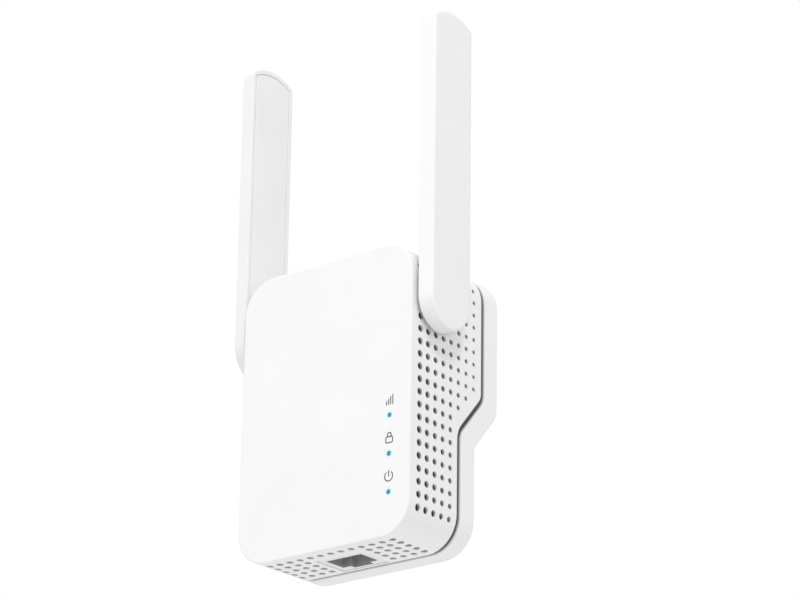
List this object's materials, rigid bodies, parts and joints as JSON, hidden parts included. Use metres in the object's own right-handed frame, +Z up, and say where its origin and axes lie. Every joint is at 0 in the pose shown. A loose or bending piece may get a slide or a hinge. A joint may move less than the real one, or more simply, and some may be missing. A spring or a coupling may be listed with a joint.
{
  "type": "wifi range extender",
  "caption": "Plug-in wall device: rounded white case stepped at the back, vented sides, network socket underneath and a folding paddle antenna at each side.",
  "frame": {"origin": "middle of the mains plug's three pins, on the plane of the wall plate's face", "axes": "+Y into the wall along the plug pins, -Y into the room, +Z up, +X to the right as seen from the room"},
  "size_m": [0.0714, 0.061, 0.1533],
  "materials": {
    "case_plastic": "fine satin moulded white",
    "antenna_plastic": "fine satin moulded white",
    "jack_plastic": "satin light grey",
    "light_plastic": "smooth",
    "dark_plastic": "satin",
    "chip_plastic": "fine matt moulding",
    "steel": "zinc plated",
    "tinned_steel": "bright tin",
    "pin_brass": "machined, polished",
    "brass": "drawn",
    "gold": "gold flash",
    "aluminium": "extruded, satin",
    "copper": "enamelled copper wire",
    "ferrite": "sintered, dull",
    "winding_tape": "polyester tape",
    "capacitor_sleeve": "shrunk sleeve",
    "resistor_coat": "lacquer",
    "disc_coat": "dipped epoxy",
    "board": "solder mask over glass laminate",
    "thermal_rubber": "soft pad",
    "washer_rubber": "matt",
    "cable_jacket": "smooth extruded",
    "label_film": "blank printed film",
    "led_lens": "lit, cyan blue",
    "light_guide": "clear moulding, lit at its tips"
  },
  "bodies": {
    "housing": {"front_shell": "case_plastic", "rear_shell": "case_plastic", "case_screws": "steel", "rating_label": "label_film", "line_pin": "pin_brass", "neutral_pin": "pin_brass", "pin_sleeves": "dark_plastic", "earth_pin": "case_plastic", "pin_carrier": "dark_plastic", "line_contact": "brass", "neutral_contact": "brass", "power_board": "board", "transformer_core": "ferrite", "transformer_bobbin": "winding_tape", "input_capacitors": "capacitor_sleeve", "output_capacitor": "capacitor_sleeve", "filter_choke": "copper", "bridge_rectifier": "chip_plastic", "fuse_resistor": "resistor_coat", "safety_capacitor": "disc_coat", "optocoupler": "chip_plastic", "board_link_header": "chip_plastic", "board_link_pins": "brass", "main_board": "board", "board_screws": "steel", "wifi_chip": "chip_plastic", "thermal_pad": "thermal_rubber", "shield_can": "tinned_steel", "heat_spreader": "aluminium", "memory_chip": "chip_plastic", "flash_chip": "chip_plastic", "crystal": "tinned_steel", "lan_transformer": "chip_plastic", "jack_housing": "jack_plastic", "jack_contacts": "gold", "signal_led": "led_lens", "security_led": "led_lens", "power_led": "led_lens", "light_guide": "light_guide", "switch_body": "chip_plastic", "antenna_sockets": "gold", "left_coax": "cable_jacket", "right_coax": "cable_jacket"},
    "left_antenna": {"left_antenna_shell": "antenna_plastic", "left_antenna_cover": "antenna_plastic", "left_radiator": "board", "left_feed_cable": "cable_jacket", "left_hinge_washer": "washer_rubber", "left_hinge_clip": "steel"},
    "right_antenna": {"right_antenna_shell": "antenna_plastic", "right_antenna_cover": "antenna_plastic", "right_radiator": "board", "right_feed_cable": "cable_jacket", "right_hinge_washer": "washer_rubber", "right_hinge_clip": "steel"},
    "button": {"button_cap": "case_plastic", "switch_plunger": "light_plastic"}
  },
  "joints": [
    {"name": "left_antenna_hinge", "type": "hinge", "parent": "housing", "child": "left_antenna", "pos_m": [-0.03, -0.0282, 0.00405], "axis": [1, 0, 0], "range_deg": [0, 180]},
    {"name": "right_antenna_hinge", "type": "hinge", "parent": "housing", "child": "right_antenna", "pos_m": [0.03, -0.0282, 0.00405], "axis": [1, 0, 0], "range_deg": [0, 180]},
    {"name": "button_press", "type": "slide", "parent": "housing", "child": "button", "axis": [1, 0, 0], "range_m": [0, 0.0004], "stiffness_N_per_m": 4000, "springref_m": -0.0002}
  ]
}
